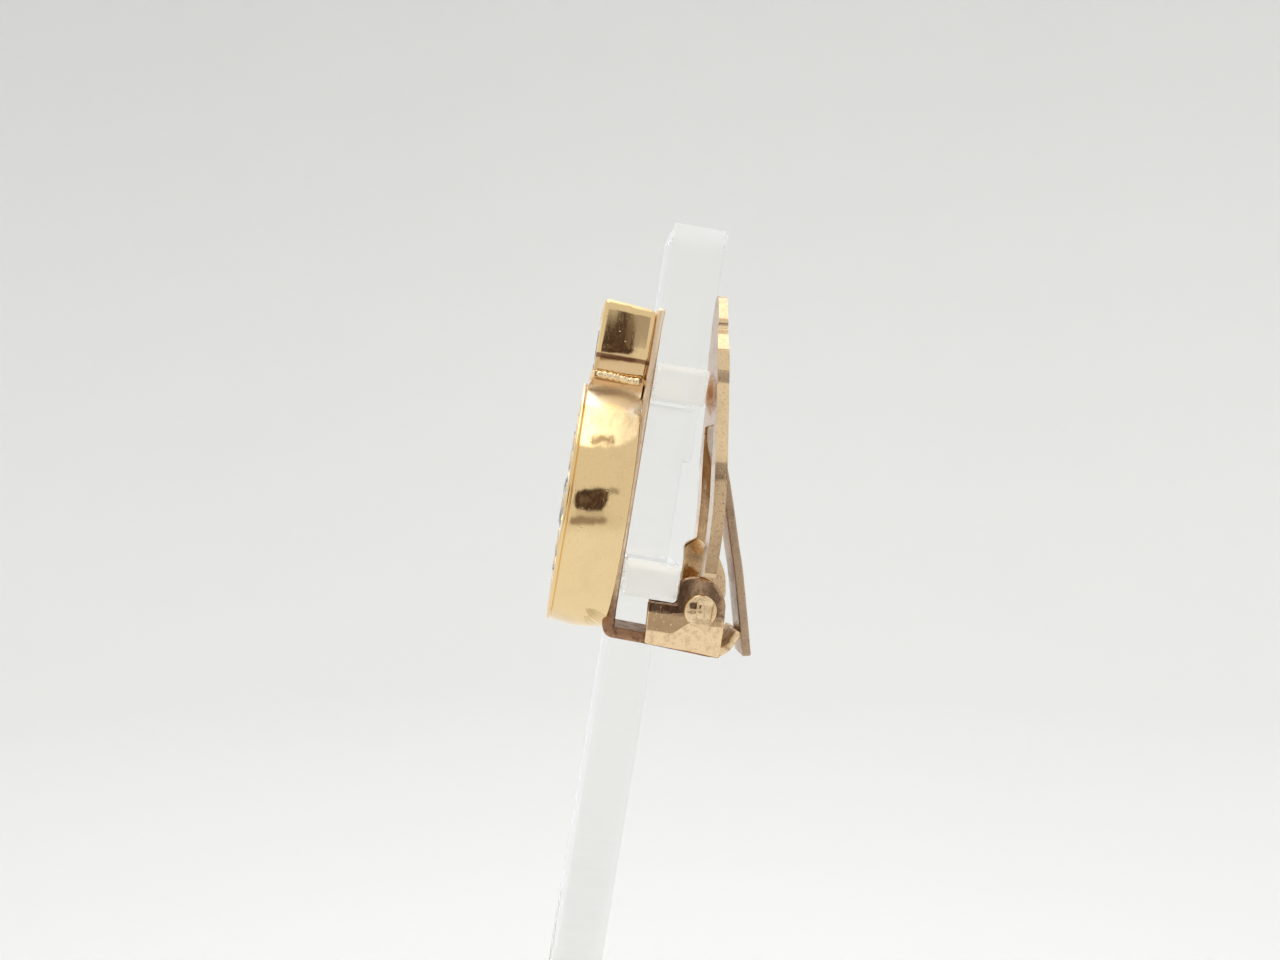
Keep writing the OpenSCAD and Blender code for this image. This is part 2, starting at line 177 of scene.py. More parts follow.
def resample(line, step):
    """Points at even steps along a line."""
    length = np.concatenate([[0], np.cumsum(np.linalg.norm(np.diff(line, axis=0), axis=1))])
    at = np.linspace(0, length[-1], max(3, int(length[-1] / step) + 1))
    return np.stack([np.interp(at, length, line[:, k]) for k in range(line.shape[1])], -1)


def smoothstep(value, low, high):
    """0 below low, 1 above high, and 3t^2 - 2t^3 between."""
    t = np.clip((value - low) / (high - low), 0, 1)
    return t * t * (3 - 2 * t)


def rounded_rectangle(half_a, half_b, radius, per_corner, per_side):
    """Closed outline of a rectangle with quarter-circle corners, anticlockwise."""
    turn = np.linspace(0, math.pi / 2, per_corner)
    a0, b0 = half_a - radius, half_b - radius
    corners = [(a0, b0, 0), (-a0, b0, 1), (-a0, -b0, 2), (a0, -b0, 3)]
    loops = []
    for k, (a, b, quarter) in enumerate(corners):
        t = turn + quarter * math.pi / 2
        arc = np.stack([a + radius * np.cos(t), b + radius * np.sin(t)], -1)
        an, bn, qn = corners[(k + 1) % 4]
        tn = qn * math.pi / 2
        nxt = np.array([an + radius * math.cos(tn), bn + radius * math.sin(tn)])
        side = np.linspace(0, 1, per_side + 1)[1:-1, None]
        loops += [arc, arc[-1] + (nxt - arc[-1]) * side]
    return np.concatenate(loops)


def bent_strip(line, half_width, half_thick, across, edge=0.08):
    """A bent sheet: a rounded rectangle, wide in x and thin along the line's normal, carried
    along a line in the (u, v) plane, its ends drawn together into rounded tips. Both halves may
    vary along the line. Returns a grid."""
    line = np.asarray(line, float)
    tangent = np.gradient(line, axis=0)
    tangent /= np.linalg.norm(tangent, axis=1)[:, None]
    normal = np.stack([-tangent[:, 1], tangent[:, 0]], -1)
    half_width = np.broadcast_to(half_width, len(line))
    thick = np.broadcast_to(half_thick, len(line))
    half_thick = float(thick.min())
    unit = rounded_rectangle(1.0, half_thick, min(edge, half_thick * 0.98), 6, across)
    across_x, off = unit[:, 0], (thick / half_thick)[:, None] * unit[None, :, 1]
    corner = np.sign(across_x) * np.maximum(np.abs(across_x) - (1 - edge), 0)
    flat = np.clip(across_x, -(1 - edge), 1 - edge) / (1 - edge)
    x = (half_width[:, None] - edge) * flat[None, :] + corner[None, :]
    u = line[:, :1] + normal[:, :1] * off
    v = line[:, 1:] + normal[:, 1:] * off
    grid = np.stack([x, u, v], -1)
    caps = []
    for end, way in ((0, -1), (-1, 1)):
        middle = np.array([0, line[end, 0], line[end, 1]])
        out = np.array([0, tangent[end, 0], tangent[end, 1]]) * way * edge
        rows = []
        for angle in np.linspace(0.25, 1, 4) * math.pi / 2:
            shrink = 1 - (1 - math.cos(angle)) * edge / half_thick
            side = grid[end] - middle
            thin = side * np.array([1.0, shrink, shrink])
            thin[:, 0] = side[:, 0] * (1 - (1 - math.cos(angle)) * edge / half_width[end])
            rows.append(middle + thin + out * math.sin(angle))
        flat_end = middle + (rows[-1] - middle) * np.array([1.0, 0.0, 0.0]) + out
        rows.append(flat_end)
        rows.append(np.broadcast_to(middle + out, flat_end.shape))
        caps.append(np.array(rows))
    grid = np.concatenate([caps[0][::-1], grid, caps[1]])
    return place(grid[..., 0], grid[..., 1], grid[..., 2])


def flat_plate(outline, centre, x_out, x_in, rows, edge=0.07, relief=None):
    """A plate cut from sheet, square to x: its outline, seen from its centre, is drawn in by an
    inset that follows a quarter circle at each edge. relief(u, v) lifts the outer face along x."""
    outline = np.asarray(outline, float)
    centre = np.asarray(centre, float)
    side = 1.0 if x_out > x_in else -1.0
    reach = np.linalg.norm(outline - centre, axis=1)[None, :]
    turn = np.linspace(0, math.pi / 2, 5)
    inner = np.linspace(1, 0, rows)[:-1, None]
    inset_face = inner * (reach - edge) + edge
    inset_edge = edge * (1 - np.sin(turn))[:, None] * np.ones_like(reach)
    depth_edge = edge * (1 - np.cos(turn))
    inset = np.concatenate([inset_face, inset_edge, inset_edge[::-1], inset_face[::-1]])
    depth = np.concatenate([
        np.zeros(rows - 1), depth_edge,
        abs(x_out - x_in) - depth_edge[::-1], np.full(rows - 1, abs(x_out - x_in)),
    ])
    share = 1 - inset / reach
    u = centre[0] + (outline[None, :, 0] - centre[0]) * share
    v = centre[1] + (outline[None, :, 1] - centre[1]) * share
    x = x_out - side * depth[:, None] * np.ones_like(u)
    if relief is not None:
        outer = (np.arange(len(x)) < rows + 4)[:, None]
        x = x + side * relief(u, v) * outer
    return place(x, u, v)


def turned(profile, centre_u, centre_v, count):
    """A body turned round an axis along x: each (x, r) of the profile swept round."""
    profile = np.asarray(profile, float)
    angle = np.linspace(0, 2 * math.pi, count, endpoint=False)[None, :]
    x = profile[:, :1] * np.ones_like(angle)
    u = centre_u + profile[:, 1:] * np.cos(angle)
    v = centre_v + profile[:, 1:] * np.sin(angle)
    return place(x, u, v)


# Materials


def feed(tree, socket, value):
    """Links a socket to another one, or gives it a constant."""
    if isinstance(value, bpy.types.NodeSocket):
        tree.links.new(value, socket)
    else:
        socket.default_value = value


def node(tree, kind, inputs=None, **settings):
    """A node with its settings and its input values."""
    made = tree.nodes.new(kind)
    for key, value in settings.items():
        setattr(made, key, value)
    for key, value in (inputs or {}).items():
        feed(tree, made.inputs[key], value)
    return made


def maths(tree, operation, first, second=0.0, clamp=False):
    """One step of arithmetic on one or two values, held between 0 and 1 if clamp."""
    made = node(tree, "ShaderNodeMath", {0: first, 1: second}, operation=operation, use_clamp=clamp)
    return made.outputs[0]


def plus(tree, first, second, clamp=False):
    """The sum of two values."""
    return maths(tree, "ADD", first, second, clamp)


def less(tree, first, second):
    """The first value less the second."""
    return maths(tree, "SUBTRACT", first, second)


def times(tree, first, second):
    """The product of two values."""
    return maths(tree, "MULTIPLY", first, second)


def ramp(tree, value, low, high, out_low=0.0, out_high=1.0):
    """Value carried from low..high to out_low..out_high, held at the ends."""
    return node(tree, "ShaderNodeMapRange", {
        "Value": value, "From Min": low, "From Max": high, "To Min": out_low, "To Max": out_high,
    }).outputs["Result"]


def mix_colour(tree, factor, first, second):
    """A blend of two colours by a factor."""
    made = node(tree, "ShaderNodeMix", data_type="RGBA")
    for number, value in ((0, factor), (6, first), (7, second)):
        feed(tree, made.inputs[number], value)
    return made.outputs[2]


def noise(tree, where, size, detail, roughness=0.5):
    """A soft noise between 0 and 1 at places that are first multiplied by size."""
    return node(tree, "ShaderNodeTexNoise", {
        "Vector": where, "Scale": size, "Detail": detail, "Roughness": roughness,
    }).outputs["Fac"]


def stretched(tree, where, scale):
    """Places multiplied along each axis by a scale of its own."""
    return node(tree, "ShaderNodeMapping", {"Vector": where, "Scale": scale}).outputs[0]


def upright_place(tree, where):
    """Places turned forward by the lean, so that z runs up along the earring."""
    return node(tree, "ShaderNodeMapping", {"Vector": where, "Rotation": (LEAN, 0, 0)}).outputs[0]


def along(tree, vector, axis):
    """What a vector has along one axis."""
    return node(tree, "ShaderNodeSeparateXYZ", {0: vector}).outputs[axis]


def new_material(name):
    """A material with its node tree and its Principled shader."""
    material = bpy.data.materials.new(name)
    material.use_nodes = True
    return material, material.node_tree, material.node_tree.nodes["Principled BSDF"]


# An upright place has y = ORIGIN_U + u and z = ORIGIN_V + v, in millimetres.
ORIGIN_U = SHIFT_Y * math.cos(LEAN) - CORNER_Z * math.sin(LEAN)
ORIGIN_V = SHIFT_Y * math.sin(LEAN) + CORNER_Z * math.cos(LEAN)

SPECK_SIZE, PIT_SIZE, HAIR_SIZE = 9000.0, 2600.0, 2600.0
HAIR_STRETCH = (1.0, 9.0, 1.2)


def plate_wear_group():
    """Wear on plated metal: broad patches of dull colour, fine specks of tarnish, small pits, and
    hair scratches that run up along the earring. Sizes are noise scales, so a larger one gives
    finer marks. Gives colour, roughness and a height for bump."""
    tree = bpy.data.node_groups.new("plate_wear", "ShaderNodeTree")
    for name, value in (
        ("Bright", (0.9, 0.68, 0.36, 1)), ("Dull", (0.5, 0.36, 0.2, 1)), ("Patch size", 400.0),
        ("Patches", 0.3), ("Specks", 0.3), ("Pits", 0.3), ("Scratches", 0.3),
        ("Smooth", 0.08), ("Rough", 0.3),
    ):
        kind = "NodeSocketFloat" if isinstance(value, float) else "NodeSocketColor"
        tree.interface.new_socket(name=name, in_out="INPUT", socket_type=kind).default_value = value
    for name, kind in (("Colour", "Color"), ("Roughness", "Float"), ("Height", "Float")):
        tree.interface.new_socket(name=name, in_out="OUTPUT", socket_type="NodeSocket" + kind)
    given = tree.nodes.new("NodeGroupInput").outputs
    where = upright_place(tree, node(tree, "ShaderNodeTexCoord").outputs["Object"])
    broad = noise(tree, where, given["Patch size"], 4.0, 0.6)
    patch = times(tree, ramp(tree, broad, 0.48, 0.68), given["Patches"])
    fine = noise(tree, where, SPECK_SIZE, 3.0)
    speck = times(tree, ramp(tree, fine, 0.56, 0.7), given["Specks"])
    cells = node(tree, "ShaderNodeTexVoronoi", {"Vector": where, "Scale": PIT_SIZE})
    pit = times(tree, ramp(tree, cells.outputs["Distance"], 0.16, 0.06), given["Pits"])
    hair = noise(tree, stretched(tree, where, HAIR_STRETCH), HAIR_SIZE, 2.0)
    scratch = times(tree, ramp(tree, hair, 0.6, 0.72), given["Scratches"])
    worn = plus(tree, patch, speck, clamp=True)
    marks = plus(tree, worn, scratch, clamp=True)
    grain = times(tree, times(tree, fine, 0.12), given["Specks"])
    deep = plus(tree, times(tree, pit, -1.0), times(tree, scratch, -0.25))
    out = tree.nodes.new("NodeGroupOutput")
    feed(tree, out.inputs["Colour"], mix_colour(tree, worn, given["Bright"], given["Dull"]))
    feed(tree, out.inputs["Roughness"], ramp(tree, marks, 0.0, 1.0, given["Smooth"], given["Rough"]))
    feed(tree, out.inputs["Height"], plus(tree, deep, grain))
    return tree


PLATE_WEAR = plate_wear_group()
WEAR_BUMP, WEAR_DEPTH = 0.2, 0.00004
ZONE_AXES = {"height": ("Z", ORIGIN_V), "depth": ("Y", ORIGIN_U)}


def plated_metal(name, bright, dull, zones=(), matt=None, **wear):
    """Metal with the plate_wear group on its colour, roughness and bump. Each zone is another
    bright and dull colour that take over, with a ragged edge, between two places: heights or
    depths of the leaning earring in millimetres, or how far the surface faces back. matt is two
    heights and the roughness that is added from the one to the other."""
    material, tree, shader = new_material(name)
    shader.inputs["Metallic"].default_value = 1.0
    group = node(tree, "ShaderNodeGroup", node_tree=PLATE_WEAR)
    for key, value in wear.items():
        group.inputs[key.replace("_", " ").capitalize()].default_value = value
    coords = node(tree, "ShaderNodeTexCoord").outputs
    wavy = noise(tree, coords["Object"], 900.0, 3.0)
    where = upright_place(tree, coords["Object"])
    colours = [(*bright, 1), (*dull, 1)]
    for kind, low, high, *zone_colours in zones:
        if kind == "facing":
            value = along(tree, coords["Normal"], "Y")
        else:
            axis, origin = ZONE_AXES[kind]
            value, low, high = along(tree, where, axis), (origin + low) * MM, (origin + high) * MM
        ragged = times(tree, less(tree, wavy, 0.5), 2 * abs(high - low))
        fade = ramp(tree, plus(tree, value, ragged), low, high)
        colours = [mix_colour(tree, fade, old, (*new, 1)) for old, new in zip(colours, zone_colours)]
    feed(tree, group.inputs["Bright"], colours[0])
    feed(tree, group.inputs["Dull"], colours[1])
    feed(tree, shader.inputs["Base Color"], group.outputs["Colour"])
    rough = group.outputs["Roughness"]
    if matt is not None:
        low, high, added = matt
        height = along(tree, where, "Z")
        rough = plus(tree, rough, ramp(
            tree, height, (ORIGIN_V + low) * MM, (ORIGIN_V + high) * MM, 0.0, added))
    feed(tree, shader.inputs["Roughness"], rough)
    lift = node(tree, "ShaderNodeBump", {
        "Height": group.outputs["Height"], "Strength": WEAR_BUMP, "Distance": WEAR_DEPTH})
    feed(tree, shader.inputs["Normal"], lift.outputs["Normal"])
    return material


GOLD = (0.90, 0.66, 0.33)
BROWN = (0.42, 0.27, 0.15)
# Painted highlight: the wall's top, above 12.0 to 12.5 mm, is a paler cream standing in for the light
# from above on it. It is also made rougher there.
gold_wall = plated_metal(
    "gold_wall", GOLD, BROWN, matt=(11.9, 12.6, 0.26),
    zones=[("height", 12.0, 12.5, (1.0, 0.9, 0.7), (0.75, 0.64, 0.47))],
    patches=0.12, specks=0.12, pits=0.25, scratches=0.35, smooth=0.07, rough=0.34)
# Painted reflection: the block turns dark brown below 15.27 to 15.21 mm and a browner gold below 15.02
# to 14.94 mm, standing in for the reflections across its lower sides.
gold_block = plated_metal(
    "gold_block", GOLD, BROWN,
    zones=[("height", 15.27, 15.21, (0.3, 0.15, 0.07), (0.2, 0.1, 0.05)),
           ("height", 15.02, 14.94, (0.76, 0.52, 0.26), BROWN)],
    patches=0.1, specks=0.12, pits=0.7, scratches=0.3, smooth=0.07, rough=0.3)
# Painted shade: the neck's orange stands in for the shade in the recess under the block, and it turns
# paler below 13.5 to 13.3 mm.
gold_neck = plated_metal(
    "gold_neck", (0.74, 0.43, 0.18), BROWN,
    zones=[("height", 13.5, 13.3, (0.95, 0.74, 0.47), (0.72, 0.52, 0.3))],
    patches=0.2, specks=0.3, pits=0.7, scratches=0.3, smooth=0.16, rough=0.34)
gold_seam = plated_metal(
    "gold_seam", (1.0, 0.78, 0.46), (0.7, 0.46, 0.2), patch_size=3000.0,
    patches=0.5, specks=0.3, pits=0.9, scratches=0.3, smooth=0.12, rough=0.34)
# Painted shade and reflection on the paddle: a darker band from 15.46 down to 14.7 mm, and browner
# faces where they face forward to the plate across the gap. Below 11.2 to 9.6 mm it is a darker gold.
gold_clip = plated_metal(
    "gold_clip", (0.86, 0.64, 0.37), (0.55, 0.37, 0.2),
    zones=[("height", 15.46, 15.4, (0.64, 0.47, 0.28), (0.3, 0.19, 0.1)),
           ("height", 14.86, 14.7, (0.9, 0.68, 0.4), (0.55, 0.37, 0.2)),
           ("facing", -0.45, -0.85, (0.58, 0.34, 0.19), (0.4, 0.22, 0.12)),
           ("height", 11.2, 9.6, (0.76, 0.55, 0.32), (0.4, 0.25, 0.14))],
    patches=0.35, specks=0.75, pits=0.5, scratches=0.6, smooth=0.11, rough=0.36)
gold_rivet = plated_metal(
    "gold_rivet", (0.88, 0.66, 0.38), (0.36, 0.22, 0.12), patch_size=900.0,
    patches=0.3, specks=0.5, pits=0.6, scratches=0.4, smooth=0.1, rough=0.35)
# Painted dark reflection and shade: the ears turn dark brown above 1.43 to 1.63 mm.
gold_ear = plated_metal(
    "gold_ear", (0.92, 0.67, 0.38), (0.62, 0.42, 0.22), patch_size=2400.0,
    zones=[("height", 1.43, 1.63, (0.52, 0.34, 0.2), (0.12, 0.05, 0.02))],
    patches=0.7, specks=0.5, pits=0.5, scratches=0.4, smooth=0.12, rough=0.3)
# Painted highlight: the bracket's pale cream stands in for the sheen along the plate's rounded edge.
# The arm is dark below 2.8 to 1.2 mm, and the heel past 5.8 to 6.2 mm back has colours of its own.
bracket_sheen = plated_metal(
    "bracket_sheen", (0.98, 0.80, 0.56), (0.78, 0.58, 0.38), patch_size=2200.0,
    zones=[("height", 2.8, 1.2, (0.42, 0.235, 0.13), (0.1, 0.045, 0.025)),
           ("depth", 5.8, 6.2, (0.95, 0.72, 0.42), (0.34, 0.2, 0.09))],
    patches=0.7, specks=0.4, pits=0.3, scratches=0.4, smooth=0.42, rough=0.65)
dull_brass = plated_metal(
    "dull_brass", (0.56, 0.40, 0.26), (0.26, 0.17, 0.11), patch_size=500.0,
    patches=0.5, specks=0.8, pits=0.5, scratches=0.8, smooth=0.3, rough=0.5)


def crystal_glass():
    """Cut crystal with faint hairline wear on its facets."""
    material, tree, shader = new_material("cut_crystal")
    shader.inputs["Base Color"].default_value = (0.96, 0.98, 1.0, 1)
    shader.inputs["Transmission Weight"].default_value = 1.0
    shader.inputs["IOR"].default_value = 1.56
    dust = noise(tree, node(tree, "ShaderNodeTexCoord").outputs["Object"], 3000.0, 3.0)
    feed(tree, shader.inputs["Roughness"], ramp(tree, dust, 0.5, 0.75, 0.01, 0.12))
    return material


SAW_SIZE, SAW_STRETCH = 2600.0, (0.05, 0.12, 1.0)
SAWN_CLEAR, SAWN_DARK = (0.985, 0.99, 0.985, 1), (0.96, 0.955, 0.94, 1)
GREY_CLEAR, GREY_DARK = (0.9, 0.9, 0.893, 1), (0.83, 0.825, 0.81, 1)
GREY_V = -17.0
BAR_END_X, BAR_END_GOLD_REFLECTION = 10.1, (0.955, 0.925, 0.86, 1)
HIGHLIGHT_V = ((14.82, 15.2), (3.7, 4.2))
HIGHLIGHT_GLOW = (0.13, 0.11, 0.09, 1)
FACE_ALPHA, SHADOW_LET_THROUGH = 0.4, 0.88


def clear_acrylic():
    """Clear acrylic: polished faces, seen through more where they face front or back, and cut
    edges that face along x with saw lines across them every 0.1 to 0.4 mm, frosted a little, and
    greyer low down. The bars' ends are warmer, a painted reflection of the gold, and each glows
    along a painted highlight line. Shadows are faint."""
    material, tree, shader = new_material("clear_acrylic")
    for key, value in (("Transmission Weight", 1.0), ("IOR", 1.3), ("Emission Strength", 1.0)):
        shader.inputs[key].default_value = value
    coords = node(tree, "ShaderNodeTexCoord").outputs
    where = upright_place(tree, coords["Object"])
    height = along(tree, where, "Z")
    sideways = maths(tree, "ABSOLUTE", along(tree, coords["Normal"], "X"))
    on_edge = ramp(tree, sideways, 0.6, 0.9)
    saw = noise(tree, stretched(tree, where, SAW_STRETCH), SAW_SIZE, 5.0, 0.7)
    lines = times(tree, ramp(tree, saw, 0.3, 0.65, 0.3, 1.0), on_edge)
    frost = plus(tree, times(tree, on_edge, 0.6), times(tree, lines, 0.4))
    feed(tree, shader.inputs["Roughness"], ramp(tree, frost, 0, 1, 0.08, 0.4))
    sawn = mix_colour(tree, lines, SAWN_CLEAR, SAWN_DARK)
    grey = mix_colour(tree, lines, GREY_CLEAR, GREY_DARK)
    low_down = ramp(tree, height, ORIGIN_V * MM, (ORIGIN_V + GREY_V) * MM)
    sawn = mix_colour(tree, times(tree, low_down, on_edge), sawn, grey)
    # Painted reflection: the bars' ends past BAR_END_X take a warm colour, the gold mirrored in them.
    from_middle = maths(tree, "ABSOLUTE", along(tree, where, "X"))
    at_end = ramp(tree, from_middle, BAR_END_X * MM, (BAR_END_X + 0.2) * MM)
    feed(tree, shader.inputs["Base Color"], mix_colour(tree, at_end, sawn, BAR_END_GOLD_REFLECTION))
    # Painted highlight: a glowing line near the top of each bar's end.
    lit = 0.0
    for low, high in HIGHLIGHT_V:
        below = ramp(tree, height, (ORIGIN_V + low) * MM, (ORIGIN_V + low + 0.22) * MM)
        above = ramp(tree, height, (ORIGIN_V + high) * MM, (ORIGIN_V + high - 0.12) * MM)
        lit = plus(tree, times(tree, below, above), lit)
    lit = times(tree, times(tree, lit, at_end), on_edge)
    feed(tree, shader.inputs["Emission Color"], mix_colour(tree, lit, (0, 0, 0, 1), HIGHLIGHT_GLOW))
    facing = maths(tree, "ABSOLUTE", along(tree, coords["Normal"], "Y"))
    shadow = node(tree, "ShaderNodeLightPath").outputs["Is Shadow Ray"]
    lets_light = less(tree, 1.0, times(tree, shadow, SHADOW_LET_THROUGH))
    see_through = ramp(tree, facing, 0.6, 0.9, 1.0, FACE_ALPHA)
    feed(tree, shader.inputs["Alpha"], times(tree, see_through, lets_light))
    lift = node(tree, "ShaderNodeBump", {"Height": lines, "Strength": 0.12, "Distance": 0.00003})
    feed(tree, shader.inputs["Normal"], lift.outputs["Normal"])
    return material


crystal = crystal_glass()
acrylic = clear_acrylic()

# Disc: the turned casting with its seats and beads

DISC_R, DISC_V, DEPTH = 6.95, 6.75, 3.3
FRONT_U = -DEPTH
DOME_RISE = 0.12
DOME_R = (DISC_R**2 + DOME_RISE**2) / (2 * DOME_RISE)
BARREL_R, BACK_ROUND = 5.5, 0.2
LIP_R, LIP_ROUND, LIP_OUT, LIP_WALL = 6.86, 0.11, 0.08, 0.15
LIP_BLEND = (6.5, 6.62)
GROOVE, GROOVE_WIDTH = 0.014, 0.06
HOLLOW_R, HOLLOW_U = 6.0, -1.5
INNER_RING, OUTER_RING = 3.4, 5.5
CENTRE_R, INNER_R, OUTER_R, STONE_GAP = 2.1, 1.05, 0.88, 0.06
INNER_COUNT, OUTER_COUNT = 8, 16
GIRDLE_SINK, BEAD_RISE, SEAT_FLOOR = 0.26, 0.04, 0.3


def on_ring(count, radius, turn):
    """Middles of things on a ring, as x and height above the disc's middle."""
    angle = np.radians(np.arange(count) * 360 / count + turn)
    return np.stack([radius * np.sin(angle), radius * np.cos(angle)], -1)


HALF_STEP = 180 / OUTER_COUNT
SEATS = [(np.zeros((1, 2)), CENTRE_R), (on_ring(INNER_COUNT, INNER_RING, 0), INNER_R),
         (on_ring(OUTER_COUNT, OUTER_RING, HALF_STEP), OUTER_R)]
BEADS = [(on_ring(OUTER_COUNT, 6.2, 0), 0.33), (on_ring(INNER_COUNT, 4.45, 2 * HALF_STEP), 0.38),
         (on_ring(INNER_COUNT, 2.6, 2 * HALF_STEP), 0.24)]


def front_relief(x, z):
    """How far the front stands out at (x, z): a ball's cap at each bead, and inside each seat
    minus its depth, a straight wall and then a cone down to a flat floor."""
    lift = np.zeros_like(x)
    for middles, radius in BEADS:
        for mx, mz in middles:
            d2 = (x - mx) ** 2 + (z - mz) ** 2
            lift = np.maximum(lift, np.sqrt(np.maximum(radius**2 - d2, 0)) - radius + BEAD_RISE)
    for middles, radius in SEATS:
        wall = radius + STONE_GAP
        for mx, mz in middles:
            d = np.hypot(x - mx, z - mz)
            cone = -(GIRDLE_SINK + STONE_GAP) - np.minimum(wall - d, wall * (1 - SEAT_FLOOR))
            lift = np.where(d < wall, cone, lift)
    return lift


def disc_casting():
    """A closed section turned round the disc's axis: a shallow dome, a rounded lip, a fine groove,
    a barrel wall, a rounded back rim and the hollow behind. The dome carries the front relief,
    and sines of unrelated lengths wave the wall by about a hundredth of a millimetre."""
    barrel_mid = DISC_R - BARREL_R
    middle_u = FRONT_U / 2
    lip_front = FRONT_U - LIP_OUT
    lip_u, lip_r = lip_front + LIP_ROUND, LIP_R - LIP_ROUND
    back_r = barrel_mid + math.sqrt((BARREL_R - BACK_ROUND) ** 2 - (-BACK_ROUND - middle_u) ** 2)
    turn_back = math.atan2(-BACK_ROUND - middle_u, back_r - barrel_mid)
    front_r = np.linspace(0, lip_r, 112)[:-1]
    front_u = FRONT_U - DOME_RISE + front_r**2 / (2 * DOME_R)
    front_u = front_u + (lip_front - front_u) * smoothstep(front_r, *LIP_BLEND)
    t = np.linspace(-math.pi / 2, 1.2, 9)
    lip = np.stack([lip_r + LIP_ROUND * np.cos(t), lip_u + LIP_ROUND * np.sin(t)], -1)
    start = math.asin((lip_u + LIP_WALL - middle_u) / BARREL_R)
    t = np.concatenate([
        np.linspace(start, start + 0.03, 8)[:-1], np.linspace(start + 0.03, turn_back, 22)])
    wall_u = middle_u + BARREL_R * np.sin(t)
    groove = GROOVE * smoothstep(wall_u, wall_u[0] + GROOVE_WIDTH, wall_u[0])
    barrel = np.stack([barrel_mid + BARREL_R * np.cos(t) - groove, wall_u], -1)
    t = np.linspace(turn_back, math.pi / 2, 7)[1:]
    rim = np.stack([back_r + BACK_ROUND * np.cos(t), -BACK_ROUND + BACK_ROUND * np.sin(t)], -1)
    hollow = np.array([
        (HOLLOW_R + 0.1, 0.0), (HOLLOW_R + 0.03, -0.03), (HOLLOW_R, -0.1),
        (HOLLOW_R, HOLLOW_U + 0.15), (HOLLOW_R - 0.05, HOLLOW_U + 0.04), (HOLLOW_R - 0.18, HOLLOW_U)])
    floor_r = np.linspace(HOLLOW_R - 0.4, 0, 14)
    floor = np.stack([floor_r, np.full_like(floor_r, HOLLOW_U)], -1)
    section = np.concatenate([np.stack([front_r, front_u], -1), lip, barrel, rim, hollow, floor])
    angle = np.linspace(0, 2 * math.pi, 560, endpoint=False)[None, :]
    r, u = section[:, :1] * np.ones_like(angle), section[:, 1:] * np.ones_like(angle)
    front = np.arange(len(section))[:, None] < len(front_r)
    u = u - np.where(front, front_relief(r * np.sin(angle), r * np.cos(angle)), 0)
    wall = (np.abs(u + DEPTH / 2) < DEPTH / 2) & (r > HOLLOW_R + 0.4)
    wave = 0.006 * np.sin(7 * angle + 1.3 * u) + 0.004 * np.sin(17 * angle - 2.1 * u + 1)
    wave = wave + 0.003 * np.sin(4.2 * u + 5 * angle)
    r = r + np.where(wall, wave * smoothstep(r, 6.45, 6.8), 0)
    return place(r * np.sin(angle), u, DISC_V + r * np.cos(angle))


# Block: a pillow-sided square casting on a neck, with a ridge of solder between them

BLOCK_HALF = np.array([2.7, 1.49, 2.15])
BLOCK_MID = np.array([0.0, -1.49, 16.05])
BLOCK_EDGE = np.array([0.28, 0.26, 0.5])
TOP_SLANT = 0.077
UPRIGHT_ABOVE_V, LOW_SIDE_R = 15.84, 3.57
SIDE_BOW_U, SIDE_BOW_R = -0.08, 7.6
SQUARE_HALF, SQUARE_CORNER = 1.75, 0.28
SQUARE_SEAT = SQUARE_HALF * 0.85 + STONE_GAP
CORNER_BEAD_X, CORNER_BEAD_V, CORNER_BEAD_R = 1.95, 1.755, 0.36


def block_steps(axis):
    """Places along one side of the block's cube: even in the middle, and at even angles of the
    rounding near both ends."""
    flat = BLOCK_HALF[axis] - BLOCK_EDGE[axis]
    arc = flat + BLOCK_EDGE[axis] * np.tan(np.linspace(0, math.pi / 4, 7))
    return np.concatenate([-arc[::-1], np.linspace(-flat, flat, 44)[1:-1], arc])


